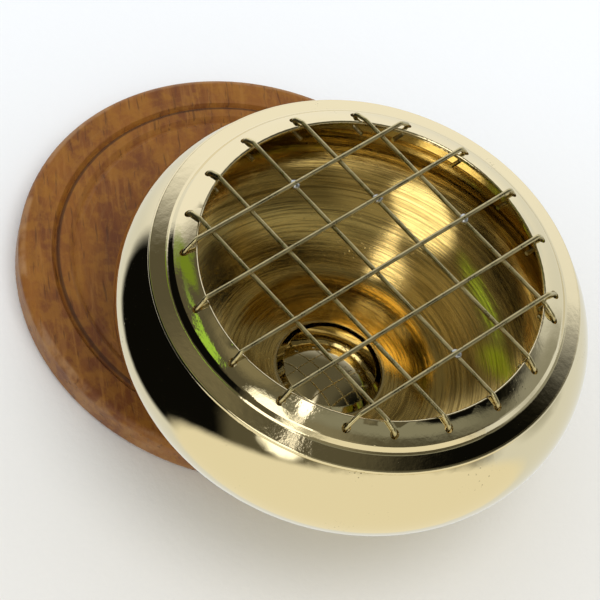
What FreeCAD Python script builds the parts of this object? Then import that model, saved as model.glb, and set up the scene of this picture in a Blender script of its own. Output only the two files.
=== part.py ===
import FreeCAD, Part
import math
import os
import Sketcher

# A screen-top charcoal burner standing on its turned wooden coaster.
# Millimetres, +Z up. The origin is the middle of the coaster's underside.
# The burner stands off-centre on the coaster, towards +X.

# ---------------------------------------------------------------- driving sizes
SIZES = {
    # coaster
    "coaster_radius": 38.5,
    "coaster_thickness": 5.5,
    "coaster_top_round": 1.3,
    "coaster_under_round": 0.8,
    "outer_groove_inset": 5.9,
    "outer_groove_width": 1.1,
    "outer_groove_depth": 0.6,
    "groove_spacing": 3.2,
    "inner_groove_width": 1.8,
    "inner_groove_depth": 0.5,
    # where the burner stands on the coaster
    "burner_shift": 23.5,
    "foot_gap": 0.02,
    # bowl: a squashed sphere of sheet, from the foot up to the mouth
    "belly_radius": 38.0,
    "belly_half_height": 20.5,
    "widest_level": 18.0,
    "sheet": 1.0,
    "rim_level": 27.15,
    "rim_edge_round": 0.3,
    "floor_round": 12.0,
    "foot_edge_round": 1.0,
    "boss_radius": 8.8,
    "boss_slope_width": 1.1,
    "boss_rise": 0.6,
    "boss_crown_radius": 26.0,
    "boss_edge_round": 0.6,
    # lid ring, from the skirt out to the lip and in to the opening
    "skirt_clearance": 0.15,
    "skirt_depth": 3.6,
    "lid_seat_gap": 0.02,
    "lid_sheet": 0.8,
    "lip_overhang": 0.3,
    "lip_height": 0.9,
    "lip_round": 0.38,
    "cove_width": 2.4,
    "cove_rise": 0.65,
    "shoulder_width": 0.75,
    "shoulder_rise": 0.95,
    "shoulder_round": 0.7,
    "flange_width": 3.6,
    "flange_rise": 1.85,
    "flange_bulge_radius": 22.0,
    "opening_edge_round": 0.3,
    # wire screen
    "hole_inset": 2.0,
    "hole_clearance": 0.35,
    "wire_radius": 0.35,
    "wire_edge_clearance": 0.05,
    "wire_layer_gap": 0.02,
    "wire_bend_radius": 0.9,
    "wire_bend_past_edge": 0.25,
    "wire_hump_at_hole": 0.45,
    "wire_tail_drop": 1.0,
    "wire_tail_length": 2.5,
    "upper_wire_angle": 96.0,
    "lower_wire_angle": 8.0,
    "upper_wire_1_share": 0.61,
    "upper_wire_2_share": 0.302,
    "upper_wire_3_share": -0.048,
    "upper_wire_4_share": -0.357,
    "upper_wire_5_share": -0.662,
    "lower_wire_1_share": -0.59,
    "lower_wire_2_share": -0.329,
    "lower_wire_3_share": -0.024,
    "lower_wire_4_share": 0.295,
    "lower_wire_5_share": 0.607,
    # solder tacks
    "tack_radius": 0.62,
    "tack_cut_clearance": 0.005,
}

WIRES_PER_LAYER = 5
# Crossings that carry solder, as (upper wire, lower wire).
TACKED_CROSSINGS = [(1, 3), (2, 4), (3, 5), (5, 3)]


# ---------------------------------------------------------------- document and sheet
doc = FreeCAD.newDocument("charcoal_burner")
sheet = doc.addObject("Spreadsheet::Sheet", "Sizes")
for row, (alias, number) in enumerate(SIZES.items(), start=1):
    sheet.set("A%d" % row, alias)
    sheet.set("B%d" % row, str(number))
    sheet.setAlias("B%d" % row, alias)
doc.recompute()


class Size:
    """A number together with the spreadsheet expression that gives it."""

    def __init__(self, value, text):
        self.value = value
        self.text = text

    def __add__(self, other):
        other = as_size(other)
        return Size(self.value + other.value, "(%s + %s)" % (self.text, other.text))

    def __sub__(self, other):
        other = as_size(other)
        return Size(self.value - other.value, "(%s - %s)" % (self.text, other.text))

    def __mul__(self, other):
        other = as_size(other)
        return Size(self.value * other.value, "(%s * %s)" % (self.text, other.text))

    def __truediv__(self, other):
        other = as_size(other)
        return Size(self.value / other.value, "(%s / %s)" % (self.text, other.text))

    def __neg__(self):
        return Size(-self.value, "(0 - %s)" % self.text)

    def root(self):
        return Size(math.sqrt(self.value), "sqrt(%s)" % self.text)

    def sine(self):
        return Size(math.sin(math.radians(self.value)), "sin(%s)" % self.text)

    def cosine(self):
        return Size(math.cos(math.radians(self.value)), "cos(%s)" % self.text)


def as_size(number):
    return number if isinstance(number, Size) else Size(float(number), repr(float(number)))


def size(alias):
    return Size(SIZES[alias], "Sizes." + alias)


def leg(hypotenuse, other_leg):
    """The remaining leg of a right triangle."""
    return (hypotenuse * hypotenuse - other_leg * other_leg).root()


# ---------------------------------------------------------------- modelling helpers
def new_body(label):
    body = doc.addObject("PartDesign::Body", label)
    body.Label = label
    return body


def new_sketch(body, name, plane_role):
    sketch = body.newObject("Sketcher::SketchObject", name)
    plane = next(item for item in body.Origin.OriginFeatures if item.Role == plane_role)
    sketch.AttachmentSupport = (plane, [""])
    sketch.MapMode = "FlatFace"
    return sketch


def bind(item, **expressions):
    """Tie properties of an object to Size values, numbers included."""
    for name, amount in expressions.items():
        item.setExpression(name, as_size(amount).text)


def constrain(sketch, kind, references, amount):
    index = sketch.addConstraint(Sketcher.Constraint(kind, *references, amount.value))
    sketch.setExpression("Constraints[%d]" % index, amount.text)


def pin_point(sketch, geometry, end, point):
    """Fix one end of a curve to sketch coordinates; None leaves that one free."""
    for kind, axis, amount in zip(("DistanceX", "DistanceY"), (-2, -1), point):
        if amount is None:
            continue
        amount = as_size(amount)
        if amount.value == 0:
            sketch.addConstraint(Sketcher.Constraint("PointOnObject", geometry, end, axis))
        else:
            constrain(sketch, kind, (-1, 1, geometry, end), amount)


def vector(point):
    return FreeCAD.Vector(as_size(point[0]).value, as_size(point[1]).value, 0)


class Arc:
    """A round stretch of an outline; bulge is +1 to the right of travel, -1 to the left."""

    def __init__(self, radius, bulge):
        self.radius = radius
        self.bulge = bulge


class EllipseArc:
    """A stretch of an upright ellipse centred on the vertical axis."""

    def __init__(self, half_width, half_height, level):
        self.half_width = half_width
        self.half_height = half_height
        self.level = level

    def point(self, level):
        """The point of the ellipse, right of the axis, at a level."""
        share = (as_size(level) - self.level) / self.half_height
        return (self.half_width * (as_size(1) - share * share).root(), as_size(level))


def add_arc(sketch, arc, start, end):
    chord = end - start
    side = FreeCAD.Vector(chord.y, -chord.x, 0).normalize() * arc.bulge
    radius = arc.radius.value
    sagitta = radius - math.sqrt(radius * radius - chord.Length ** 2 / 4)
    middle = start + chord / 2 + side * sagitta
    # A sketch's arcs run counter-clockwise, so one that bulges left is drawn from its far end.
    ends = (start, end) if arc.bulge > 0 else (end, start)
    return sketch.addGeometry(Part.Arc(ends[0], middle, ends[1]), False)


def add_ellipse_arc(sketch, arc, start, end):
    centre = FreeCAD.Vector(0, arc.level.value, 0)
    ellipse = Part.Ellipse(centre, arc.half_width.value, arc.half_height.value)
    low, high = sorted((ellipse.parameter(start), ellipse.parameter(end)),
                       key=lambda turn: (turn + math.pi) % (2 * math.pi))
    return sketch.addGeometry(Part.ArcOfEllipse(ellipse, low, high), False)


def dimension_ellipse(sketch, geometry, arc):
    first_helper = sketch.GeometryCount
    sketch.exposeInternalGeometry(geometry)
    major = first_helper
    minor = first_helper + 1
    pin_point(sketch, geometry, 3, (0, arc.level))
    sketch.addConstraint(Sketcher.Constraint("Horizontal", major))
    constrain(sketch, "Distance", (major,), arc.half_width * 2)
    constrain(sketch, "Distance", (minor,), arc.half_height * 2)


def draw_outline(sketch, corners):
    """Draw a closed outline. corners lists (point, link to the next point);
    a link is None for a straight line, an Arc or an EllipseArc."""
    pieces = []
    for number, (point, link) in enumerate(corners):
        start = vector(point)
        end = vector(corners[(number + 1) % len(corners)][0])
        if link is None:
            geometry = sketch.addGeometry(Part.LineSegment(start, end), False)
        elif isinstance(link, Arc):
            geometry = add_arc(sketch, link, start, end)
        else:
            geometry = add_ellipse_arc(sketch, link, start, end)
        curve = sketch.Geometry[geometry]
        starts_here = (curve.StartPoint - start).Length < (curve.EndPoint - start).Length
        pieces.append((geometry, 1 if starts_here else 2))
    for number, (geometry, start_end) in enumerate(pieces):
        next_geometry, next_end = pieces[(number + 1) % len(pieces)]
        sketch.addConstraint(
            Sketcher.Constraint("Coincident", geometry, 3 - start_end, next_geometry, next_end))
    for number, (point, link) in enumerate(corners):
        geometry, start_end = pieces[number]
        on_ellipse = isinstance(link, EllipseArc) or isinstance(corners[number - 1][1], EllipseArc)
        pin_point(sketch, geometry, start_end, (None, point[1]) if on_ellipse else point)
        if isinstance(link, Arc):
            constrain(sketch, "Radius", (geometry,), link.radius)
        elif isinstance(link, EllipseArc):
            dimension_ellipse(sketch, geometry, link)


def revolve(body, name, sketch):
    feature = body.newObject("PartDesign::Revolution", name)
    feature.Profile = sketch
    feature.ReferenceAxis = (sketch, ["V_Axis"])
    feature.Angle = 360
    return feature


def ring_edges(shape, radius, level):
    """Names of the circular edges about Z with this radius at this level."""
    names = []
    for number, edge in enumerate(shape.Edges, start=1):
        # A dome's pole is an edge without a curve.
        if not edge.Degenerated and isinstance(edge.Curve, Part.Circle):
            circle = edge.Curve
            near_radius = abs(circle.Radius - radius.value) < 0.01
            if near_radius and abs(circle.Center.z - level.value) < 0.01:
                names.append("Edge%d" % number)
    return names


def round_rings(body, name, rings, radius):
    """Round the circular edges given as (radius, level) pairs."""
    doc.recompute()
    base = body.Tip
    names = []
    for ring_radius, level in rings:
        found = ring_edges(base.Shape, ring_radius, level)
        if not found:
            raise ValueError("%s: no edge at radius %.2f, level %.2f"
                             % (name, ring_radius.value, level.value))
        names += found
    fillet = body.newObject("PartDesign::Fillet", name)
    fillet.Base = (base, names)
    bind(fillet, Radius=radius)
    return fillet


def place(body, across, along, level, turn=None):
    """Put a body at (across, along, level), turned about Z."""
    if turn is not None:
        body.Placement = FreeCAD.Placement(FreeCAD.Vector(0, 0, 0),
                                           FreeCAD.Rotation(FreeCAD.Vector(0, 0, 1), 1))
        body.setExpression(".Placement.Rotation.Angle", turn.text)
    body.setExpression(".Placement.Base.x", as_size(across).text)
    body.setExpression(".Placement.Base.y", as_size(along).text)
    body.setExpression(".Placement.Base.z", as_size(level).text)


# ---------------------------------------------------------------- places shared by the pieces
burner_x = size("burner_shift")
burner_z = size("coaster_thickness") + size("foot_gap")

belly_outside = EllipseArc(size("belly_radius"), size("belly_half_height"), size("widest_level"))
belly_inside = EllipseArc(size("belly_radius") - size("sheet"),
                          size("belly_half_height") - size("sheet"), size("widest_level"))
rim_outside = belly_outside.point(size("rim_level"))
rim_inside = belly_inside.point(size("rim_level"))

lip_level = size("rim_level") + size("lid_seat_gap")
lip_top = lip_level + size("lip_height")
cove_top = lip_top + size("cove_rise")
shoulder_top = cove_top + size("shoulder_rise")
opening_level = shoulder_top + size("flange_rise")
lip_radius = rim_outside[0] + size("lip_overhang")
lip_inner_radius = lip_radius - size("lip_round")
cove_inner_radius = lip_inner_radius - size("cove_width")
shoulder_radius = cove_inner_radius - size("shoulder_width")
opening_radius = shoulder_radius - size("flange_width")

hole_radius = size("wire_radius") + size("hole_clearance")
hole_ring_radius = opening_radius + size("hole_inset")


# ---------------------------------------------------------------- coaster
def groove_corners(radius, width, depth):
    """A groove's three corners on the coaster's top, from the outside in."""
    top = size("coaster_thickness")
    return [((radius + width / 2, top), None),
            ((radius, top - depth), None),
            ((radius - width / 2, top), None)]


def make_coaster():
    body = new_body("coaster")
    sketch = new_sketch(body, "coaster_section", "XZ_Plane")
    radius = size("coaster_radius")
    top = size("coaster_thickness")
    outer_radius = radius - size("outer_groove_inset")
    inner_radius = outer_radius - size("groove_spacing")
    outer_groove = groove_corners(outer_radius, size("outer_groove_width"),
                                  size("outer_groove_depth"))
    inner_groove = groove_corners(inner_radius, size("inner_groove_width"),
                                  size("inner_groove_depth"))
    draw_outline(sketch, [((0, 0), None), ((radius, 0), None), ((radius, top), None)]
                 + outer_groove + inner_groove + [((0, top), None)])
    revolve(body, "coaster_turning", sketch)
    round_rings(body, "coaster_top_edge", [(radius, top)], size("coaster_top_round"))
    round_rings(body, "coaster_under_edge", [(radius, as_size(0))], size("coaster_under_round"))
    return body


# ---------------------------------------------------------------- bowl
def make_bowl():
    body = new_body("bowl")
    sketch = new_sketch(body, "bowl_section", "XZ_Plane")
    floor = size("sheet")
    boss_top_radius = size("boss_radius") - size("boss_slope_width")
    foot_outer = belly_outside.point(0)
    floor_edge = belly_inside.point(floor)
    boss_foot = (size("boss_radius"), floor)
    boss_shoulder = (boss_top_radius, floor + size("boss_rise"))
    crown = Arc(size("boss_crown_radius"), 1)
    crown_rise = crown.radius - leg(crown.radius, boss_top_radius)
    crown_under = Arc(crown.radius, -1)
    draw_outline(sketch, [
        ((0, size("boss_rise") + crown_rise), crown_under),
        ((boss_top_radius, size("boss_rise")), None),
        ((size("boss_radius"), 0), None),
        (foot_outer, belly_outside),
        (rim_outside, None),
        (rim_inside, belly_inside),
        (floor_edge, None),
        (boss_foot, None),
        (boss_shoulder, crown),
        ((0, boss_shoulder[1] + crown_rise), None),
    ])
    revolve(body, "bowl_spinning", sketch)
    round_rings(body, "bowl_floor_sweep", [floor_edge], size("floor_round"))
    round_rings(body, "bowl_foot_edge", [foot_outer], size("foot_edge_round"))
    round_rings(body, "bowl_boss_edges", [boss_foot, boss_shoulder], size("boss_edge_round"))
    round_rings(body, "bowl_rim_edge", [rim_outside], size("rim_edge_round"))
    place(body, burner_x, 0, burner_z)
    return body


# ---------------------------------------------------------------- lid ring
def flange_centre():
    """Centre of the arc that the flange's top surface follows, as (radius, level)."""
    start = (shoulder_radius, shoulder_top)
    end = (opening_radius, opening_level)
    half_across = (end[0] - start[0]) / 2
    half_up = (end[1] - start[1]) / 2
    half_chord = (half_across * half_across + half_up * half_up).root()
    reach = leg(size("flange_bulge_radius"), half_chord) / half_chord
    return (start[0] + half_across + half_up * -1 * reach,
            start[1] + half_up + half_across * reach)


def flange_level(radius):
    """Level of the flange's top surface at a radius."""
    centre = flange_centre()
    return centre[1] + leg(size("flange_bulge_radius"), as_size(radius) - centre[0])


def make_lid_ring():
    body = new_body("lid_ring")
    sketch = new_sketch(body, "lid_section", "XZ_Plane")
    thickness = size("lid_sheet")
    skirt_radius = rim_inside[0] - size("skirt_clearance")
    skirt_bottom = lip_level - size("skirt_depth")
    bulge = size("flange_bulge_radius")
    draw_outline(sketch, [
        ((skirt_radius - thickness, skirt_bottom), None),
        ((skirt_radius, skirt_bottom), None),
        ((skirt_radius, lip_level), None),
        ((lip_inner_radius, lip_level), Arc(size("lip_round"), 1)),
        ((lip_radius, lip_level + size("lip_round")), None),
        ((lip_radius, lip_top - size("lip_round")), Arc(size("lip_round"), 1)),
        ((lip_inner_radius, lip_top), None),
        ((cove_inner_radius, cove_top), None),
        ((shoulder_radius, shoulder_top), Arc(bulge, 1)),
        ((opening_radius, opening_level), None),
        ((opening_radius, opening_level - thickness), Arc(bulge - thickness, -1)),
        ((shoulder_radius, shoulder_top - thickness), None),
        ((cove_inner_radius, cove_top - thickness), None),
        ((skirt_radius - thickness, cove_top - thickness), None),
    ])
    revolve(body, "lid_spinning", sketch)
    round_rings(body, "lid_cove", [(cove_inner_radius, cove_top)], size("cove_width") / 3)
    round_rings(body, "lid_shoulder", [(shoulder_radius, shoulder_top)], size("shoulder_round"))
    round_rings(body, "lid_opening_edge", [(opening_radius, opening_level)],
                size("opening_edge_round"))
    holes = new_sketch(body, "wire_hole_centres", "XY_Plane")
    for layer, number in wire_list():
        offset = wire_offset(layer, number)
        reach = leg(hole_ring_radius, offset)
        turn = size(layer + "_wire_angle")
        for along in (reach, -reach):
            centre = (along * turn.cosine() - offset * turn.sine(),
                      along * turn.sine() + offset * turn.cosine())
            circle = Part.Circle(vector(centre), FreeCAD.Vector(0, 0, 1), hole_radius.value)
            geometry = holes.addGeometry(circle, False)
            pin_point(holes, geometry, 3, centre)
            constrain(holes, "Radius", (geometry,), hole_radius)
    doc.recompute()
    volume_before = body.Tip.Shape.Volume
    pocket = body.newObject("PartDesign::Pocket", "wire_holes")
    pocket.Profile = holes
    pocket.Reversed = True
    bind(pocket, Length=opening_level + thickness)
    doc.recompute()
    if pocket.Shape.Volume > volume_before - 1:
        raise ValueError("the wire holes cut nothing from the lid")
    place(body, burner_x, 0, burner_z)
    return body


# ---------------------------------------------------------------- wire screen
def wire_list():
    return [(layer, number) for layer in ("upper", "lower")
            for number in range(1, WIRES_PER_LAYER + 1)]


def wire_offset(layer, number):
    """Sideways distance of a wire from the burner's axis, given as a share of the hole ring."""
    return hole_ring_radius * size("%s_wire_%d_share" % (layer, number))


def wire_run_level(layer):
    """Level of a wire's centre line where it runs straight across the opening."""
    lower = opening_level + size("wire_radius") + size("wire_edge_clearance")
    if layer == "lower":
        return lower
    return lower + size("wire_radius") * 2 + size("wire_layer_gap")


def make_wire(layer, number):
    """One wire: straight across, over the opening's edge, down its hole, tail turned in.
    Half of it is swept from the middle outwards and mirrored."""
    name = "%s_wire_%d" % (layer, number)
    body = new_body(name)
    offset = wire_offset(layer, number)
    bend = size("wire_bend_radius")
    run_level = wire_run_level(layer)
    edge_reach = leg(opening_radius, offset) + size("wire_bend_past_edge")
    hole_reach = leg(hole_ring_radius, offset)
    hole_top = flange_level(hole_ring_radius)
    drop_level = hole_top + size("wire_radius") + size("wire_hump_at_hole") - bend
    tail_level = hole_top - size("lid_sheet") - size("wire_tail_drop") - size("wire_radius")

    path = new_sketch(body, name + "_path", "XZ_Plane")
    first = (edge_reach.value, run_level.value - bend.value)
    second = (hole_reach.value - bend.value, drop_level.value)
    third = (hole_reach.value - bend.value, tail_level.value + bend.value)
    fall = math.atan2(first[1] - second[1], second[0] - first[0])
    lean = math.pi / 2 - fall

    def on_circle(centre, turn):
        return FreeCAD.Vector(centre[0] + bend.value * math.cos(turn),
                              centre[1] + bend.value * math.sin(turn), 0)

    def bend_arc(centre, turn_from, turn_to):
        # Drawn counter-clockwise, so the arc's end point is the one nearer the wire's middle.
        middle = on_circle(centre, (turn_from + turn_to) / 2)
        return Part.Arc(on_circle(centre, turn_to), middle, on_circle(centre, turn_from))

    tail_end = FreeCAD.Vector(hole_reach.value - SIZES["wire_tail_length"], tail_level.value, 0)
    curves = [
        Part.LineSegment(FreeCAD.Vector(0, run_level.value, 0), on_circle(first, math.pi / 2)),
        bend_arc(first, math.pi / 2, lean),
        Part.LineSegment(on_circle(first, lean), on_circle(second, lean)),
        bend_arc(second, lean, 0),
        Part.LineSegment(on_circle(second, 0), on_circle(third, 0)),
        bend_arc(third, 0, -math.pi / 2),
        Part.LineSegment(on_circle(third, -math.pi / 2), tail_end),
    ]
    for curve in curves:
        path.addGeometry(curve, False)
    for geometry in range(len(curves) - 1):
        this_end = 2 if isinstance(curves[geometry], Part.LineSegment) else 1
        next_start = 1 if isinstance(curves[geometry + 1], Part.LineSegment) else 2
        path.addConstraint(
            Sketcher.Constraint("Tangent", geometry, this_end, geometry + 1, next_start))
    pin_point(path, 0, 1, (0, run_level))
    path.addConstraint(Sketcher.Constraint("Horizontal", 0))
    path.addConstraint(Sketcher.Constraint("Vertical", 4))
    path.addConstraint(Sketcher.Constraint("Horizontal", 6))
    for geometry in (1, 3, 5):
        constrain(path, "Radius", (geometry,), bend)
    pin_point(path, 1, 3, (edge_reach, None))
    pin_point(path, 3, 3, (None, drop_level))
    pin_point(path, 4, 1, (hole_reach, None))
    pin_point(path, 6, 2, (hole_reach - size("wire_tail_length"), tail_level))

    section = new_sketch(body, name + "_section", "YZ_Plane")
    circle = Part.Circle(FreeCAD.Vector(0, run_level.value, 0), FreeCAD.Vector(0, 0, 1),
                         SIZES["wire_radius"])
    geometry = section.addGeometry(circle, False)
    pin_point(section, geometry, 3, (0, run_level))
    constrain(section, "Radius", (geometry,), size("wire_radius"))

    half = body.newObject("PartDesign::AdditivePipe", name + "_half")
    half.Profile = section
    half.Spine = path
    whole = body.newObject("PartDesign::Mirrored", name + "_both_halves")
    whole.Originals = [half]
    middle = next(item for item in body.Origin.OriginFeatures if item.Role == "YZ_Plane")
    whole.MirrorPlane = (middle, [""])
    body.Tip = whole
    turn = size(layer + "_wire_angle")
    place(body, burner_x - offset * turn.sine(), offset * turn.cosine(), burner_z, turn)
    return body


# ---------------------------------------------------------------- solder tacks
def crossing_point(upper, lower):
    """Where an upper and a lower wire cross, from the burner's axis, as (x, y)."""
    upper_turn = size("upper_wire_angle")
    lower_turn = size("lower_wire_angle")
    upper_offset = wire_offset("upper", upper)
    lower_offset = wire_offset("lower", lower)
    spread = (upper_turn - lower_turn).sine()
    return ((upper_offset * lower_turn.cosine() - lower_offset * upper_turn.cosine()) / -spread,
            (upper_offset * lower_turn.sine() - lower_offset * upper_turn.sine()) / -spread)


def wire_cutter(name, layer, across, along):
    cutter = doc.addObject("Part::Cylinder", name)
    length = size("tack_radius") * 4
    bind(cutter, Radius=size("wire_radius") + size("tack_cut_clearance"), Height=length)
    turn = size(layer + "_wire_angle")
    cutter.Placement = FreeCAD.Placement(FreeCAD.Vector(0, 0, 0),
                                         FreeCAD.Rotation(SIZES[layer + "_wire_angle"], 90, 0))
    cutter.setExpression(".Placement.Base.x", (across - turn.cosine() * length / 2).text)
    cutter.setExpression(".Placement.Base.y", (along - turn.sine() * length / 2).text)
    cutter.setExpression(".Placement.Base.z", (burner_z + wire_run_level(layer)).text)
    return cutter


def make_tack(number, upper, lower):
    point = crossing_point(upper, lower)
    across = burner_x + point[0]
    along = point[1]
    ball = doc.addObject("Part::Sphere", "tack_%d_ball" % number)
    bind(ball, Radius=size("tack_radius"))
    middle_level = (wire_run_level("upper") + wire_run_level("lower")) / 2
    place(ball, across, along, burner_z + middle_level)
    tack = ball
    for layer in ("upper", "lower"):
        cut = doc.addObject("Part::Cut", "tack_%d_clear_of_%s_wire" % (number, layer))
        cut.Base = tack
        cut.Tool = wire_cutter("tack_%d_%s_wire" % (number, layer), layer, across, along)
        tack = cut
    return tack


def make_tacks():
    group = doc.addObject("Part::Compound", "solder_tacks")
    group.Label = "solder_tacks"
    group.Links = [make_tack(number, upper, lower)
                   for number, (upper, lower) in enumerate(TACKED_CROSSINGS, start=1)]
    return group


# ---------------------------------------------------------------- build, check and write
pieces = [make_coaster(), make_bowl(), make_lid_ring()]
pieces += [make_wire(layer, number) for layer, number in wire_list()]
pieces.append(make_tacks())
doc.recompute()

faults = []
for item in doc.Objects:
    if "Invalid" in item.State or "Error" in item.State:
        faults.append("%s: %s" % (item.Label, item.State))
for piece in pieces:
    if piece.Shape.isNull() or not piece.Shape.isValid():
        faults.append("%s: bad shape" % piece.Label)
if faults:
    raise ValueError("; ".join(faults))

os.makedirs("parts", exist_ok=True)
for piece in pieces:
    piece.Shape.exportStep("parts/%s.step" % piece.Label)
    box = piece.Shape.BoundBox
    print("%-14s solids %d volume %9.2f  x %7.2f %7.2f  y %7.2f %7.2f  z %6.2f %6.2f" % (
        piece.Label, len(piece.Shape.Solids), piece.Shape.Volume,
        box.XMin, box.XMax, box.YMin, box.YMax, box.ZMin, box.ZMax))
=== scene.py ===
# %% [markdown]
# # A screen charcoal burner on its turned coaster
# The object is a small spun brass bowl with a brass lid ring and a screen of ten wires,
# standing off-centre on a turned wooden coaster. Charcoal sits in the bowl, and the
# smoke rises through the screen.
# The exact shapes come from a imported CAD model, which is loaded first as a fixed frame.
# This script adds what the CAD model doesn't have: the finishes, a few hand-made pieces,
# a camera, a floor and the light.

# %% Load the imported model
import math
import bpy
from mathutils import Matrix, Vector


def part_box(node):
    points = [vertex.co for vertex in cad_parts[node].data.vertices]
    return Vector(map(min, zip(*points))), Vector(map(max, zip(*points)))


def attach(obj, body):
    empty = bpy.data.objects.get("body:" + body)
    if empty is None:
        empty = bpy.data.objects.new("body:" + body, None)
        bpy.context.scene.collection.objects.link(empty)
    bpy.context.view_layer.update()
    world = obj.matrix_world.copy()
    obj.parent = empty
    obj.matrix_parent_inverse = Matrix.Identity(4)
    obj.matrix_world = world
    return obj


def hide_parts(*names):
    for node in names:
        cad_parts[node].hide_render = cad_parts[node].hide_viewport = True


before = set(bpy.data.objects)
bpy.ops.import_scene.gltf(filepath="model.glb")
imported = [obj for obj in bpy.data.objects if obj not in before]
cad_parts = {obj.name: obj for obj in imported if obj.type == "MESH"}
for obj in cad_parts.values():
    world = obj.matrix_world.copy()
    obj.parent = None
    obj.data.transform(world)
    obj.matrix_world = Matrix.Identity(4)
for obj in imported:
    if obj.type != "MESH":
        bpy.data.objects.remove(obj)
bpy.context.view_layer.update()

bpy.ops.object.select_all(action="DESELECT")
print("nodes:", ", ".join(sorted(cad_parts)))

# %% [markdown]
# ## Where things are
# Every later step needs the same few places, so they are measured once from the CAD boxes:
# the burner's upright axis, the foot it stands on and the middle of the coaster.
# Blender works in metres, so a millimetre is 0.001.

# %% Measure the burner and the coaster
MM = 0.001
BELLY_ABOVE_FOOT = 18 * MM
bowl_low, bowl_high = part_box("bowl")
coaster_low, coaster_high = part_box("coaster")
burner_axis = Vector(((bowl_low[0] + bowl_high[0]) / 2, (bowl_low[1] + bowl_high[1]) / 2, 0))
foot_level = bowl_low[2]
belly_middle = burner_axis + Vector((0, 0, foot_level + BELLY_ABOVE_FOOT))
coaster_middle = Vector(((coaster_low[0] + coaster_high[0]) / 2,
                         (coaster_low[1] + coaster_high[1]) / 2, 0))
print("burner axis x %.4f, foot level %.4f" % (burner_axis.x, foot_level))

# %% [markdown]
# ## The camera
# The camera looks down into the bowl at about 55 degrees, rolled so that the screen
# runs diagonally. A long lens keeps the round lid from looking egg-shaped.
# The camera's three axes are worked out one by one instead of with a Track To constraint,
# because the roll then goes in as one plain angle, and the light can reuse the same axes.

# %% Work out the camera's axes
around, above, roll = math.radians(36.0), math.radians(54.47), math.radians(23.3)
towards_camera = Vector((math.sin(around) * math.cos(above),
                         -math.cos(around) * math.cos(above), math.sin(above)))
level_right = Vector((math.cos(around), math.sin(around), 0))
level_up = towards_camera.cross(level_right)
view_right = math.cos(roll) * level_right + math.sin(roll) * level_up
view_up = -math.sin(roll) * level_right + math.cos(roll) * level_up
print("towards the camera:", [round(part, 3) for part in towards_camera])

# %% Place the camera
LENS = 152.6
DISTANCE = 0.4
AIM_LEFT = 8.34 * MM
AIM_UP = 1.94 * MM
camera_data = bpy.data.cameras.new("camera")
camera_data.sensor_width = 36
camera_data.lens = LENS
camera = bpy.data.objects.new("camera", camera_data)
bpy.context.scene.collection.objects.link(camera)
stand = belly_middle + towards_camera * DISTANCE
aim = belly_middle - view_right * AIM_LEFT + view_up * AIM_UP
camera_z = (stand - aim).normalized()
camera_x = (view_right - view_right.dot(camera_z) * camera_z).normalized()
camera_turn = Matrix((camera_x, camera_z.cross(camera_x), camera_z)).transposed().to_4x4()
camera.matrix_world = Matrix.Translation(stand) @ camera_turn
bpy.context.scene.camera = camera
print("camera at", [round(part, 3) for part in stand])

# %% [markdown]
# ## Two helpers for building node trees
# A material is a graph of nodes. In the editor one adds nodes and drags links by hand;
# in code the same two actions repeat so often that they are worth a helper.
# `node` adds one node, sets its buttons and feeds its inputs, with a plain number or with
# another node's output. `sum_of` is the short form for the Math node.

# %% Helpers that add nodes
def node(tree, kind, feeds=None, **buttons):
    made = tree.nodes.new(kind)
    for name, value in buttons.items():
        setattr(made, name, value)
    for plug, value in (feeds or {}).items():
        if isinstance(value, bpy.types.NodeSocket):
            tree.links.new(value, made.inputs[plug])
        else:
            made.inputs[plug].default_value = value
    return made


def sum_of(tree, operation, first, second=0.0, third=0.0):
    feeds = {0: first, 1: second, 2: third}
    return node(tree, "ShaderNodeMath", feeds, operation=operation).outputs[0]


def fade(tree, value, start, end):
    """0 at start, 1 at end, with a soft S-shaped step between."""
    feeds = {"Value": value, "From Min": start, "From Max": end}
    return node(tree, "ShaderNodeMapRange", feeds, interpolation_type="SMOOTHSTEP",
                clamp=True).outputs["Result"]


def blend(tree, share, first, second):
    """A colour between first and second."""
    mixer = node(tree, "ShaderNodeMix", {"Factor": share}, data_type="RGBA")
    for plug, value in ((mixer.inputs[6], first), (mixer.inputs[7], second)):
        if isinstance(value, bpy.types.NodeSocket):
            tree.links.new(value, plug)
        else:
            plug.default_value = (*value, 1)
    return mixer.outputs[2]


print("helpers ready")

# %% [markdown]
# ## The floor
# The burner stands on a sheet of plain paper. A big plane is enough. Its colour runs between
# two near-whites across the sheet, cooler far away and creamier near the camera, and carries
# painted light as well: the sheet is painted darker near the camera and brighter far away.
# A very fine noise gives the paper tooth. The sheet is hidden from mirror-like reflections,
# because the studio below already describes what polished metal sees in each direction, floor
# included.

# %% Lay the paper
bpy.ops.mesh.primitive_plane_add(size=4, location=(0, 0, 0))
paper = bpy.context.object
paper.name = "paper_floor"
bpy.ops.object.mode_set(mode="EDIT")
bpy.ops.mesh.subdivide(number_cuts=3)
bpy.ops.object.mode_set(mode="OBJECT")
paper.visible_glossy = False

paper_finish = bpy.data.materials.new("paper")
paper_finish.use_nodes = True
tree = paper_finish.node_tree
place = node(tree, "ShaderNodeTexCoord").outputs["Object"]
far = Vector((view_up.x, view_up.y, 0)).normalized()
distance_away = node(tree, "ShaderNodeVectorMath", {0: place, 1: far},
                     operation="DOT_PRODUCT").outputs["Value"]
# Painted light: the paper is painted darker near the camera and brighter far away.
paper_tone_and_painted_light = blend(tree, fade(tree, distance_away, -0.07, 0.07),
                     (0.79, 0.785, 0.755), (0.89, 0.92, 0.95))
paper_tooth = node(tree, "ShaderNodeTexNoise", {"Vector": place, "Scale": 900, "Detail": 4})
paper_bump = node(tree, "ShaderNodeBump",
                  {"Height": paper_tooth.outputs[0], "Strength": 0.15, "Distance": 0.0004})
paper_shader = tree.nodes["Principled BSDF"]
paper_shader.inputs["Roughness"].default_value = 0.9
paper_shader.inputs["Specular IOR Level"].default_value = 0.1
tree.links.new(paper_tone_and_painted_light, paper_shader.inputs["Base Color"])
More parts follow.
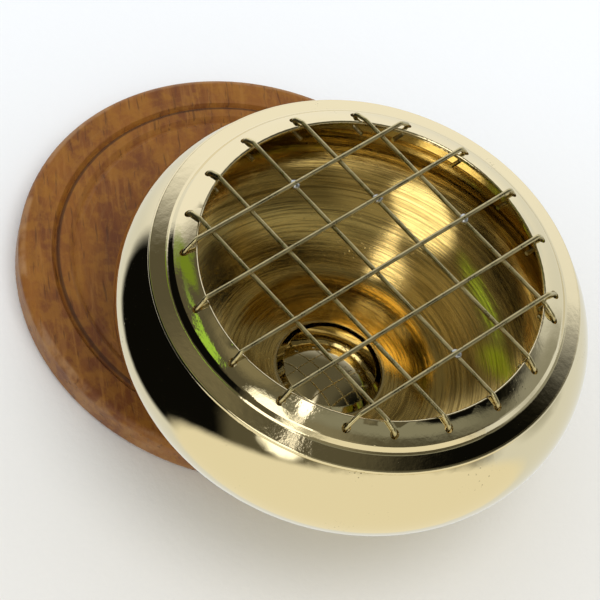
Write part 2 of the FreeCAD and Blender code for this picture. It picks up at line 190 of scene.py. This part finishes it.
tree.links.new(paper_bump.outputs[0], paper_shader.inputs["Normal"])
paper.data.materials.append(paper_finish)
print("paper laid")

# %% [markdown]
# ## The studio that the brass reflects
# Polished brass has hardly any look of its own: it shows the room. So the room matters as
# much as the material. It could be built from real cards and lamps around the object, but
# a world shader is easier to adjust: for each direction it says how bright the room is.
# Three numbers name a direction: how far it points to the right, up and towards the
# camera. The room is white paper below and behind, a dark curtain at the left, a dim
# ceiling, a window behind the camera and a leafy green plant beside it.
# Only glossy rays see this room. All other rays get a plain even white, so that wood and
# paper are lit simply.

# %% Start the world
world = bpy.data.worlds.new("studio")
bpy.context.scene.world = world
world.use_nodes = True
world.cycles.sampling_method = "NONE"
tree = world.node_tree
tree.nodes.clear()
direction = node(tree, "ShaderNodeTexCoord").outputs["Generated"]


def part_along(axis):
    return node(tree, "ShaderNodeVectorMath", {0: direction, 1: axis},
                operation="DOT_PRODUCT").outputs["Value"]


to_right, to_up, to_camera = (part_along(view_right), part_along(view_up),
                              part_along(towards_camera))
print("world follows three axes")


# %% Helpers that paint the room
def round_patch(centre, core, edge):
    """A mask round the direction `centre` (right, up, towards); core and edge in degrees."""
    axis = (view_right * centre[0] + view_up * centre[1]
            + towards_camera * centre[2]).normalized()
    return fade(tree, part_along(axis), math.cos(math.radians(edge)),
                math.cos(math.radians(core)))


def long_patch(right, up, half_width, half_length, lean, softness):
    """An oval on the camera's side of the room, leaning by `lean` degrees."""
    turn = math.radians(lean)
    across = sum_of(tree, "SUBTRACT", to_right, right)
    along = sum_of(tree, "SUBTRACT", to_up, up)
    wide = sum_of(tree, "ADD",
                  sum_of(tree, "MULTIPLY", across, math.cos(turn) / half_width),
                  sum_of(tree, "MULTIPLY", along, math.sin(turn) / half_width))
    tall = sum_of(tree, "ADD",
                  sum_of(tree, "MULTIPLY", along, math.cos(turn) / half_length),
                  sum_of(tree, "MULTIPLY", across, -math.sin(turn) / half_length))
    reach = sum_of(tree, "SQRT", sum_of(tree, "ADD", sum_of(tree, "MULTIPLY", wide, wide),
                                        sum_of(tree, "MULTIPLY", tall, tall)))
    return sum_of(tree, "MULTIPLY", fade(tree, reach, 1 + softness, 1 - softness),
                  fade(tree, to_camera, 0.0, 0.1))


print("painting helpers ready")

# %% Paint the room
WALL_BEHIND = (0.84, 0.86, 0.85)
TOP_BEHIND = (1.10, 1.10, 1.08)
DIM_FRONT = (0.11, 0.10, 0.065)
PAPER_SEEN = (0.98, 0.93, 0.76)
BLACK = (0.004, 0.004, 0.003)
LEFT_CURTAIN = (-0.98, 0.06, 0.14)
RIGHT_SIDE = (0.98, 0.10, -0.05)
# Each oval: right, up, half width, half length, lean in degrees, softness, then its colour.
# A later oval covers an earlier one.
CEILING = [
    (0.10, -0.20, 0.24, 0.42, 0, 0.5, (0.25, 0.23, 0.16)),
    (-0.12, 0.57, 0.20, 0.19, 0, 0.5, (0.26, 0.23, 0.14)),
    (0.70, 0.32, 0.26, 0.32, 0, 0.4, BLACK),
    (0.45, 0.18, 0.48, 0.13, -9, 0.5, (0.28, 0.28, 0.22)),
]
WINDOW = [
    (-0.22, -0.12, 0.21, 0.40, -6, 0.15, (2.2, 2.15, 1.9)),
    (0.12, 0.35, 0.035, 0.24, -27, 0.5, (2.6, 2.5, 2.3)),
    (0.10, 0.47, 0.06, 0.09, -27, 0.5, (2.8, 2.7, 2.4)),
]
PLANT = [
    (-0.44, 0.47, 0.030, 0.22, 12, 0.6, (0.42, 0.74, 0.09)),
    (-0.45, 0.80, 0.11, 0.05, 0, 0.5, (0.20, 0.30, 0.03)),
]


def paint_ovals(room, ovals):
    for *oval, colour in ovals:
        room = blend(tree, long_patch(*oval), room, colour)
    return room


behind = blend(tree, fade(tree, to_up, 0.45, 0.85), WALL_BEHIND, TOP_BEHIND)
room = blend(tree, fade(tree, to_camera, 0.05, 0.38), behind, DIM_FRONT)
room = paint_ovals(room, CEILING)
room = blend(tree, round_patch(RIGHT_SIDE, 10, 26), room, (0.32, 0.32, 0.27))
room = paint_ovals(room, WINDOW + PLANT)
room = blend(tree, round_patch(LEFT_CURTAIN, 38, 48), room, BLACK)
PAPER_CURVE = 0.12
bowed = sum_of(tree, "MULTIPLY", sum_of(tree, "MULTIPLY", to_right, to_right), PAPER_CURVE)
edge_of_paper = sum_of(tree, "SUBTRACT", to_up, bowed)
room = blend(tree, fade(tree, edge_of_paper, -0.50, -0.61), room, PAPER_SEEN)
print("room painted")

# %% Let only glossy rays see the room
ray = node(tree, "ShaderNodeLightPath")
even_light = node(tree, "ShaderNodeBackground", {"Color": (1, 1, 1, 1), "Strength": 0.92})
camera_white = node(tree, "ShaderNodeBackground",
                    {"Color": (0.96, 0.98, 1, 1), "Strength": 1.0})
room_light = node(tree, "ShaderNodeBackground", {"Color": room, "Strength": 1.0})
plain = node(tree, "ShaderNodeMixShader",
             {0: ray.outputs["Is Camera Ray"],
              1: even_light.outputs[0], 2: camera_white.outputs[0]})
whole = node(tree, "ShaderNodeMixShader", {0: ray.outputs["Is Glossy Ray"],
                                           1: plain.outputs[0], 2: room_light.outputs[0]})
node(tree, "ShaderNodeOutputWorld", {"Surface": whole.outputs[0]})
print("world has", len(tree.nodes), "nodes")

# %% [markdown]
# ## One soft lamp
# The even light alone would leave the burner floating. One large soft lamp, almost
# overhead and a little to the camera's right, gives the object a gentle shadow on its
# left. It is hidden from glossy rays, because the window painted in the room already
# gives the bright glints.

# %% Hang the lamp
lamp_data = bpy.data.lights.new("soft_lamp", "AREA")
lamp_data.shape = "DISK"
lamp_data.size = 0.5
lamp_data.energy = 1.5
lamp_data.color = (1.0, 0.98, 0.95)
lamp = bpy.data.objects.new("soft_lamp", lamp_data)
bpy.context.scene.collection.objects.link(lamp)
lamp_way = (Vector((0, 0, 1.0)) + view_right * 0.20 - view_up * 0.15).normalized()
lamp.location = belly_middle + lamp_way * 0.8
lamp.rotation_euler = lamp_way.to_track_quat("Z", "Y").to_euler()
lamp.visible_glossy = False
print("lamp", round(lamp.location.z, 2), "m up")

# %% [markdown]
# ## Effects that several finishes share
# Spun brass and turned wood both carry fine rings from the lathe, and every old surface
# carries specks and cloudy patches. Each effect is a node group: a small graph with named
# inputs, built once and dropped into each material with its own numbers. A group gives
# out only a mask or a height; the shader stays in the material.

# %% Helper that starts an effect
def new_effect(name, numbers, results, centre=False):
    group = bpy.data.node_groups.new(name, "ShaderNodeTree")
    if centre:
        group.interface.new_socket(name="Centre", in_out="INPUT",
                                   socket_type="NodeSocketVector")
    for label, value in numbers.items():
        plug = group.interface.new_socket(name=label, in_out="INPUT",
                                          socket_type="NodeSocketFloat")
        plug.default_value = value
    for label in results:
        group.interface.new_socket(name=label, in_out="OUTPUT", socket_type="NodeSocketFloat")
    given = group.nodes.new("NodeGroupInput").outputs
    wanted = group.nodes.new("NodeGroupOutput").inputs
    return group, given, wanted


def use_effect(tree, group, **values):
    made = node(tree, "ShaderNodeGroup", node_tree=group)
    for label, value in values.items():
        plug = made.inputs[label.replace("_", " ")]
        if isinstance(value, bpy.types.NodeSocket):
            tree.links.new(value, plug)
        else:
            plug.default_value = value
    return made.outputs


print("effect helpers ready")

# %% [markdown]
# ### Lathe lines
# A tool held against turning metal leaves rings: the mark changes quickly across the
# rings and slowly along them. So the noise is read not at x, y, z but at the distance
# from the axis and the height, both magnified, while the direction round the axis is
# magnified only a little. Four numbers feed a 4D noise, and no seam appears.

# %% Build the lathe lines
lathe_lines, given, wanted = new_effect(
    "lathe_lines", {"Fineness": 1500.0, "Streak": 1.5}, ("Lines", "Radius", "Height"),
    centre=True)
tree = lathe_lines
place = node(tree, "ShaderNodeTexCoord").outputs["Object"]
from_axis = node(tree, "ShaderNodeVectorMath", {0: place, 1: given["Centre"]},
                 operation="SUBTRACT").outputs[0]
apart = node(tree, "ShaderNodeSeparateXYZ", {0: from_axis}).outputs
radius = sum_of(tree, "SQRT", sum_of(tree, "ADD", sum_of(tree, "MULTIPLY", apart[0], apart[0]),
                                     sum_of(tree, "MULTIPLY", apart[1], apart[1])))
safe_radius = sum_of(tree, "MAXIMUM", radius, 0.0002)
turn_x = sum_of(tree, "MULTIPLY", sum_of(tree, "DIVIDE", apart[0], safe_radius),
                given["Streak"])
turn_y = sum_of(tree, "MULTIPLY", sum_of(tree, "DIVIDE", apart[1], safe_radius),
                given["Streak"])
spot = node(tree, "ShaderNodeCombineXYZ",
            {0: turn_x, 1: turn_y, 2: sum_of(tree, "MULTIPLY", radius, given["Fineness"])})
streaks = node(tree, "ShaderNodeTexNoise",
               {"Vector": spot.outputs[0], "Scale": 1.0, "Detail": 4.0, "Roughness": 0.65,
                "W": sum_of(tree, "MULTIPLY", apart[2], given["Fineness"])},
               noise_dimensions="4D")
tree.links.new(streaks.outputs[0], wanted["Lines"])
tree.links.new(radius, wanted["Radius"])
tree.links.new(apart[2], wanted["Height"])
print("lathe lines:", len(tree.nodes), "nodes")

# %% [markdown]
# ### Specks and clouds
# Specks are tiny pits and grains of soot. A Voronoi texture puts one dot in each cell, and
# a random number per cell decides whether that dot shows. Clouds are broad soft patches,
# where fingers and heat have dulled the surface: a low noise, pushed through a soft step.

# %% Build the specks
specks, given, wanted = new_effect("specks", {"Fineness": 900.0, "Share": 0.3}, ("Specks",))
tree = specks
place = node(tree, "ShaderNodeTexCoord").outputs["Object"]
cells = node(tree, "ShaderNodeTexVoronoi", {"Vector": place, "Scale": given["Fineness"]})
chance = node(tree, "ShaderNodeSeparateColor", {0: cells.outputs["Color"]}).outputs
shown = sum_of(tree, "LESS_THAN", chance[0], given["Share"])
dot_size = sum_of(tree, "MULTIPLY_ADD", chance[1], 0.3, 0.12)
dot = fade(tree, sum_of(tree, "DIVIDE", cells.outputs["Distance"], dot_size), 1.2, 0.5)
tree.links.new(sum_of(tree, "MULTIPLY", dot, shown), wanted["Specks"])
print("specks:", len(tree.nodes), "nodes")

# %% Build the clouds
clouds, given, wanted = new_effect(
    "clouds", {"Fineness": 60.0, "Start": 0.45, "End": 0.65}, ("Clouds",))
tree = clouds
place = node(tree, "ShaderNodeTexCoord").outputs["Object"]
soft = node(tree, "ShaderNodeTexNoise",
            {"Vector": place, "Scale": given["Fineness"], "Detail": 5.0, "Roughness": 0.6})
tree.links.new(fade(tree, soft.outputs[0], given["Start"], given["End"]), wanted["Clouds"])
print("clouds:", len(tree.nodes), "nodes")

# %% [markdown]
# ## Brass
# The bowl and the lid ring are spun from sheet brass and buffed outside to a pale yellow
# mirror. Inside the bowl the lathe marks stay: heat has browned the lower wall to a dark
# gold, and the raised boss in the middle was buffed again. A mask tells inside from
# outside by asking whether a point lies within an ellipsoid that runs through the middle
# of the sheet. The ring has no such inside, so it gets the same finish without the mask.

# %% Colours of the brass
MIDDLE_OF_SHEET_OUT = 37.5 * MM
MIDDLE_OF_SHEET_UP = 20.0 * MM
BOSS_EDGE = (9.4 * MM, 8.7 * MM)
PALE_BRASS = (0.77, 0.68, 0.46)
OLIVE_BRASS = (0.78, 0.71, 0.46)
HEATED_BRASS = (0.87, 0.65, 0.25)
BROWN_STREAK = (0.30, 0.20, 0.06)
SOOT = (0.12, 0.10, 0.05)


def inside_the_bowl(tree, rings):
    share_out = sum_of(tree, "DIVIDE", rings["Radius"], MIDDLE_OF_SHEET_OUT)
    share_up = sum_of(tree, "DIVIDE", rings["Height"], MIDDLE_OF_SHEET_UP)
    within = sum_of(tree, "ADD", sum_of(tree, "MULTIPLY", share_out, share_out),
                    sum_of(tree, "MULTIPLY", share_up, share_up))
    wall = fade(tree, within, 1.004, 0.996)
    boss = fade(tree, rings["Radius"], *BOSS_EDGE)
    return wall, sum_of(tree, "MULTIPLY", wall, boss)


def inner_brass(tree, rings):
    """Olive near the mouth, dark gold below, in bands, with fine brown streaks."""
    bands = use_effect(tree, lathe_lines, Centre=belly_middle, Fineness=420.0, Streak=0.9)
    high = fade(tree, sum_of(tree, "MULTIPLY_ADD", bands["Lines"], 9 * MM, rings["Height"]),
                1 * MM, 12 * MM)
    gold = blend(tree, high, HEATED_BRASS, OLIVE_BRASS)
    gold = blend(tree, sum_of(tree, "MULTIPLY", fade(tree, bands["Lines"], 0.50, 0.66), 0.55),
                 gold, BROWN_STREAK)
    streaky = sum_of(tree, "MULTIPLY", fade(tree, rings["Lines"], 0.46, 0.62), 0.70)
    return blend(tree, streaky, gold, BROWN_STREAK)


print("brass colours ready")

# %% Make the brass, with or without a bowl's inside
def make_brass(name, has_inside, wavy):
    finish = bpy.data.materials.new(name)
    finish.use_nodes = True
    tree = finish.node_tree
    shader = tree.nodes["Principled BSDF"]
    shader.inputs["Metallic"].default_value = 1.0
    rings = use_effect(tree, lathe_lines, Centre=belly_middle, Fineness=2600.0, Streak=1.7)
    dust = use_effect(tree, clouds, Fineness=70.0, Start=0.55, End=0.70)["Clouds"]
    soot = use_effect(tree, specks, Fineness=2300.0, Share=0.30)["Specks"]
    soot = sum_of(tree, "MULTIPLY", soot, dust)
    smudge = use_effect(tree, clouds, Fineness=40.0, Start=0.45, End=0.75)["Clouds"]
    rough = sum_of(tree, "MULTIPLY_ADD", smudge, 0.05, 0.03)
    depth = 0.02
    colour = blend(tree, sum_of(tree, "MULTIPLY", smudge, 0.15), PALE_BRASS, OLIVE_BRASS)
    if has_inside:
        wall, boss = inside_the_bowl(tree, rings)
        lined = sum_of(tree, "SUBTRACT", wall, boss)
        colour = blend(tree, lined, colour, inner_brass(tree, rings))
        rough = node(tree, "ShaderNodeMix", {"Factor": lined, 2: rough,
                     3: sum_of(tree, "MULTIPLY_ADD", rings["Lines"], 0.13, 0.015)},
                     data_type="FLOAT").outputs[0]
        depth = sum_of(tree, "MULTIPLY_ADD", lined, 0.45, depth)
        shader.inputs["Anisotropic"].default_value = 0.5
    colour = blend(tree, sum_of(tree, "MULTIPLY", soot, 0.5), colour, SOOT)
    line_height = sum_of(tree, "MULTIPLY", rings["Lines"], depth)
    relief = node(tree, "ShaderNodeBump",
                  {"Height": line_height, "Strength": 1.0, "Distance": 0.00004})
    dents = use_effect(tree, clouds, Fineness=230.0, Start=0.2, End=0.8)["Clouds"]
    relief = node(tree, "ShaderNodeBump",
                  {"Height": dents, "Strength": wavy, "Distance": 0.0001,
                   "Normal": relief.outputs[0]})
    pits = node(tree, "ShaderNodeBump", {"Height": soot, "Strength": 0.35, "Distance": 0.00004,
                                         "Normal": relief.outputs[0]}, invert=True)
    tree.links.new(colour, shader.inputs["Base Color"])
    tree.links.new(rough, shader.inputs["Roughness"])
    tree.links.new(pits.outputs[0], shader.inputs["Normal"])
    print(name, "has", len(tree.nodes), "nodes")
    return finish


bowl_brass = make_brass("spun_brass_bowl", True, 0.03)
ring_brass = make_brass("buffed_brass_ring", False, 0.20)

# %% [markdown]
# ## Screen wire
# The screen is ten brass wires, never polished, so they have gone dull and a little green.
# The colour drifts between a khaki and a lighter straw in clouds a few millimetres long,
# and a medium roughness keeps the glints soft.

# %% Make the wire's finish
wire_finish = bpy.data.materials.new("dull_wire")
wire_finish.use_nodes = True
tree = wire_finish.node_tree
drift = use_effect(tree, clouds, Fineness=260.0, Start=0.35, End=0.65)["Clouds"]
grime = use_effect(tree, specks, Fineness=2200.0, Share=0.35)["Specks"]
wire_colour = blend(tree, drift, (0.42, 0.37, 0.21), (0.62, 0.54, 0.31))
wire_colour = blend(tree, sum_of(tree, "MULTIPLY", grime, 0.6), wire_colour, (0.18, 0.14, 0.07))
wire_bump = node(tree, "ShaderNodeBump", {"Height": grime, "Strength": 0.5,
                                          "Distance": 0.00003}, invert=True)
wire_shader = tree.nodes["Principled BSDF"]
wire_shader.inputs["Metallic"].default_value = 1.0
tree.links.new(wire_colour, wire_shader.inputs["Base Color"])
tree.links.new(sum_of(tree, "MULTIPLY_ADD", drift, 0.14, 0.24), wire_shader.inputs["Roughness"])
tree.links.new(wire_bump.outputs[0], wire_shader.inputs["Normal"])
print("wire:", len(tree.nodes), "nodes")

# %% [markdown]
# ## Solder
# A few crossings are tacked with soft solder, which sets silvery and slightly wrinkled.
# It shares the clouds and the specks with the brass, at its own finer scale.

# %% Make the solder's finish
solder_finish = bpy.data.materials.new("grey_solder")
solder_finish.use_nodes = True
tree = solder_finish.node_tree
wrinkle = use_effect(tree, clouds, Fineness=900.0, Start=0.3, End=0.7)["Clouds"]
solder_colour = blend(tree, wrinkle, (0.42, 0.45, 0.50), (0.72, 0.75, 0.80))
solder_bump = node(tree, "ShaderNodeBump", {"Height": wrinkle, "Strength": 0.6,
                                            "Distance": 0.00005})
solder_shader = tree.nodes["Principled BSDF"]
solder_shader.inputs["Metallic"].default_value = 1.0
tree.links.new(solder_colour, solder_shader.inputs["Base Color"])
tree.links.new(sum_of(tree, "MULTIPLY_ADD", wrinkle, 0.15, 0.2),
               solder_shader.inputs["Roughness"])
tree.links.new(solder_bump.outputs[0], solder_shader.inputs["Normal"])
print("solder:", len(tree.nodes), "nodes")

# %% [markdown]
# ## Turned wood
# The coaster is a disc of reddish hardwood, cut along the grain and turned on a lathe. Two
# patterns cross: the straight grain of the tree, and the rings of the tool. The grain is a
# noise stretched thirty times along one direction. Short dark dashes are the pores. The
# groove is darkened with painted shade, and the rim is lightened, partly as rubbed wear and
# partly as a painted highlight along its edge, both placed by distance from the middle.

# %% Start the wood and stretch its grain
wood = bpy.data.materials.new("turned_hardwood")
wood.use_nodes = True
tree = wood.node_tree
place = node(tree, "ShaderNodeTexCoord").outputs["Object"]
grain_turn = math.radians(154)
along_grain = node(tree, "ShaderNodeMapping",
                   {"Vector": place, "Rotation": (0, 0, -grain_turn)}).outputs[0]


def grain(fineness, stretch, detail):
    squeezed = node(tree, "ShaderNodeMapping",
                    {"Vector": along_grain, "Scale": (1 / stretch, 1, 0.6)}).outputs[0]
    return node(tree, "ShaderNodeTexNoise",
                {"Vector": squeezed, "Scale": fineness, "Detail": detail, "Roughness": 0.62,
                 "Distortion": 0.25}).outputs[0]


broad = grain(170, 4, 5)
fine = grain(900, 9, 3)
print("grain runs at", round(math.degrees(grain_turn)), "degrees")

# %% Colour the wood
wood_colour = blend(tree, fade(tree, broad, 0.36, 0.64),
                    (0.150, 0.047, 0.014), (0.25, 0.092, 0.015))
wood_colour = blend(tree, sum_of(tree, "MULTIPLY", fade(tree, fine, 0.50, 0.72), 0.55),
                    wood_colour, (0.33, 0.145, 0.032))
mottle = use_effect(tree, clouds, Fineness=420.0, Start=0.42, End=0.62)["Clouds"]
wood_colour = blend(tree, sum_of(tree, "MULTIPLY", mottle, 0.45),
                    wood_colour, (0.33, 0.145, 0.018))
pores = fade(tree, grain(1600, 10, 2), 0.60, 0.70)
wood_colour = blend(tree, sum_of(tree, "MULTIPLY", pores, 0.45),
                    wood_colour, (0.05, 0.018, 0.008))
turned = use_effect(tree, lathe_lines, Centre=coaster_middle, Fineness=2200.0, Streak=3.0)
tool_rings = fade(tree, turned["Lines"], 0.5, 0.75)
wood_colour = blend(tree, sum_of(tree, "MULTIPLY", tool_rings, 0.25),
                    wood_colour, (0.32, 0.16, 0.045))
print("wood colours mixed")

# %% Painted shade in the groove, wear and a painted highlight on the rim
GROOVE_INSET = 6.45 * MM
RIM_WEAR_AND_HIGHLIGHT_INSET = 0.4 * MM
coaster_radius = (coaster_high[1] - coaster_low[1]) / 2


def ring_mask(middle, half_width):
    off = sum_of(tree, "ABSOLUTE", sum_of(tree, "SUBTRACT", turned["Radius"], middle))
    return fade(tree, off, half_width, half_width * 0.35)


# Painted shade: a dark ring painted into the groove.
groove_painted_shade = ring_mask(coaster_radius - GROOVE_INSET, 0.40 * MM)
wood_colour = blend(tree, sum_of(tree, "MULTIPLY", groove_painted_shade, 0.7), wood_colour,
                    (0.035, 0.014, 0.008))
patchy = use_effect(tree, clouds, Fineness=130.0, Start=0.42, End=0.62)["Clouds"]
# Partly rubbed wear, partly a painted highlight: a pale ring along the rim's edge.
rim_wear_and_highlight = sum_of(tree, "MULTIPLY", ring_mask(coaster_radius - RIM_WEAR_AND_HIGHLIGHT_INSET, 0.9 * MM), patchy)
wood_colour = blend(tree, sum_of(tree, "MULTIPLY", rim_wear_and_highlight, 0.35),
                    wood_colour, (0.50, 0.32, 0.17))
print("coaster radius", round(coaster_radius, 4))

# %% Sheen and relief of the wood
grain_height = sum_of(tree, "MULTIPLY_ADD", pores, -0.5, sum_of(tree, "MULTIPLY", fine, 0.5))
wood_height = sum_of(tree, "MULTIPLY_ADD", turned["Lines"], 0.35, grain_height)
wood_bump = node(tree, "ShaderNodeBump", {"Height": wood_height, "Strength": 0.7,
                                          "Distance": 0.00015})
wood_shader = tree.nodes["Principled BSDF"]
wood_shader.inputs["Specular IOR Level"].default_value = 0.22
tree.links.new(wood_colour, wood_shader.inputs["Base Color"])
tree.links.new(sum_of(tree, "MULTIPLY_ADD", patchy, 0.15, 0.42),
               wood_shader.inputs["Roughness"])
tree.links.new(wood_bump.outputs[0], wood_shader.inputs["Normal"])
print("wood:", len(tree.nodes), "nodes")

# %% [markdown]
# ## Solder blobs
# The CAD model marks each soldered crossing with a plain round tack. Real solder is a
# droplet: it pulls itself round, creeps along both wires and freezes with small dents. So
# one droplet is modelled by hand from an icosphere: squeezed, drawn out along one direction
# and jostled at random with a fixed seed. Its copies are turned differently, each with its
# own mesh, and joined into one piece that replaces the plain tacks.

# %% Find the soldered crossings
ONE_TACK = 3 * MM
tack_spots = []
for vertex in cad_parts["solder_tacks"].data.vertices:
    for spot in tack_spots:
        if (vertex.co - spot[0]).length < ONE_TACK:
            spot.append(vertex.co)
            break
    else:
        tack_spots.append([vertex.co])


def middle_of(points):
    return Vector([(min(spot[axis] for spot in points)
                    + max(spot[axis] for spot in points)) / 2 for axis in range(3)])


crossings = [middle_of(points) for points in tack_spots]
print(len(crossings), "soldered crossings")

# %% Shape one droplet
DROP_RADIUS = 0.88 * MM
bpy.ops.mesh.primitive_ico_sphere_add(subdivisions=5, radius=DROP_RADIUS,
                                      location=crossings[0])
droplet = bpy.context.object
bpy.ops.object.mode_set(mode="EDIT")
bpy.ops.mesh.select_all(action="SELECT")
bpy.ops.transform.resize(value=(1.0, 0.84, 0.64))
bpy.ops.transform.vertex_random(offset=0.06 * MM, uniform=0.2, normal=0.9, seed=7)
bpy.ops.mesh.vertices_smooth(factor=0.6, repeat=6)
bpy.ops.mesh.normals_make_consistent(inside=False)
bpy.ops.object.mode_set(mode="OBJECT")
bpy.ops.object.shade_smooth()
print("droplet", [round(side * 1000, 2) for side in droplet.dimensions], "mm")

# %% Copy it to every crossing and join the copies
droplets = [droplet]
for number, crossing in enumerate(crossings[1:], start=1):
    copy = droplet.copy()
    copy.data = droplet.data.copy()
    bpy.context.scene.collection.objects.link(copy)
    copy.location = crossing
    copy.rotation_euler.z = math.radians(70 * number)
    droplets.append(copy)
bpy.ops.object.select_all(action="DESELECT")
for piece in droplets:
    piece.select_set(True)
bpy.context.view_layer.objects.active = droplet
bpy.ops.object.join()
bpy.ops.object.transform_apply(location=True, rotation=True, scale=True)
solder_drops = bpy.context.object
solder_drops.name = "solder_drops"
solder_drops.data.materials.append(solder_finish)
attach(solder_drops, "lid_body")
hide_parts("solder_tacks")
print("solder drops:", len(solder_drops.data.polygons), "faces")

# %% [markdown]
# ## Dress the CAD pieces
# A CAD piece whose shape is right is not touched: it only gets the new finish in its
# material slot. The record says which finish each slot stands for.

# %% Put the finishes on
FINISHES = {"polished_brass": ring_brass, "brass_wire": wire_finish, "solder": solder_finish,
            "turned_wood": wood}
for name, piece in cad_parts.items():
    for slot in piece.material_slots:
        for word, finish in FINISHES.items():
            if slot.material is not None and word in slot.material.name:
                slot.material = bowl_brass if name == "bowl" else finish
    print(name, "->", [slot.material.name for slot in piece.material_slots])

# %% [markdown]
# ## The view transform
# The view transform is set to Standard so that a colour shows about as it was written.

# %% Finish
bpy.context.scene.view_settings.view_transform = "Standard"
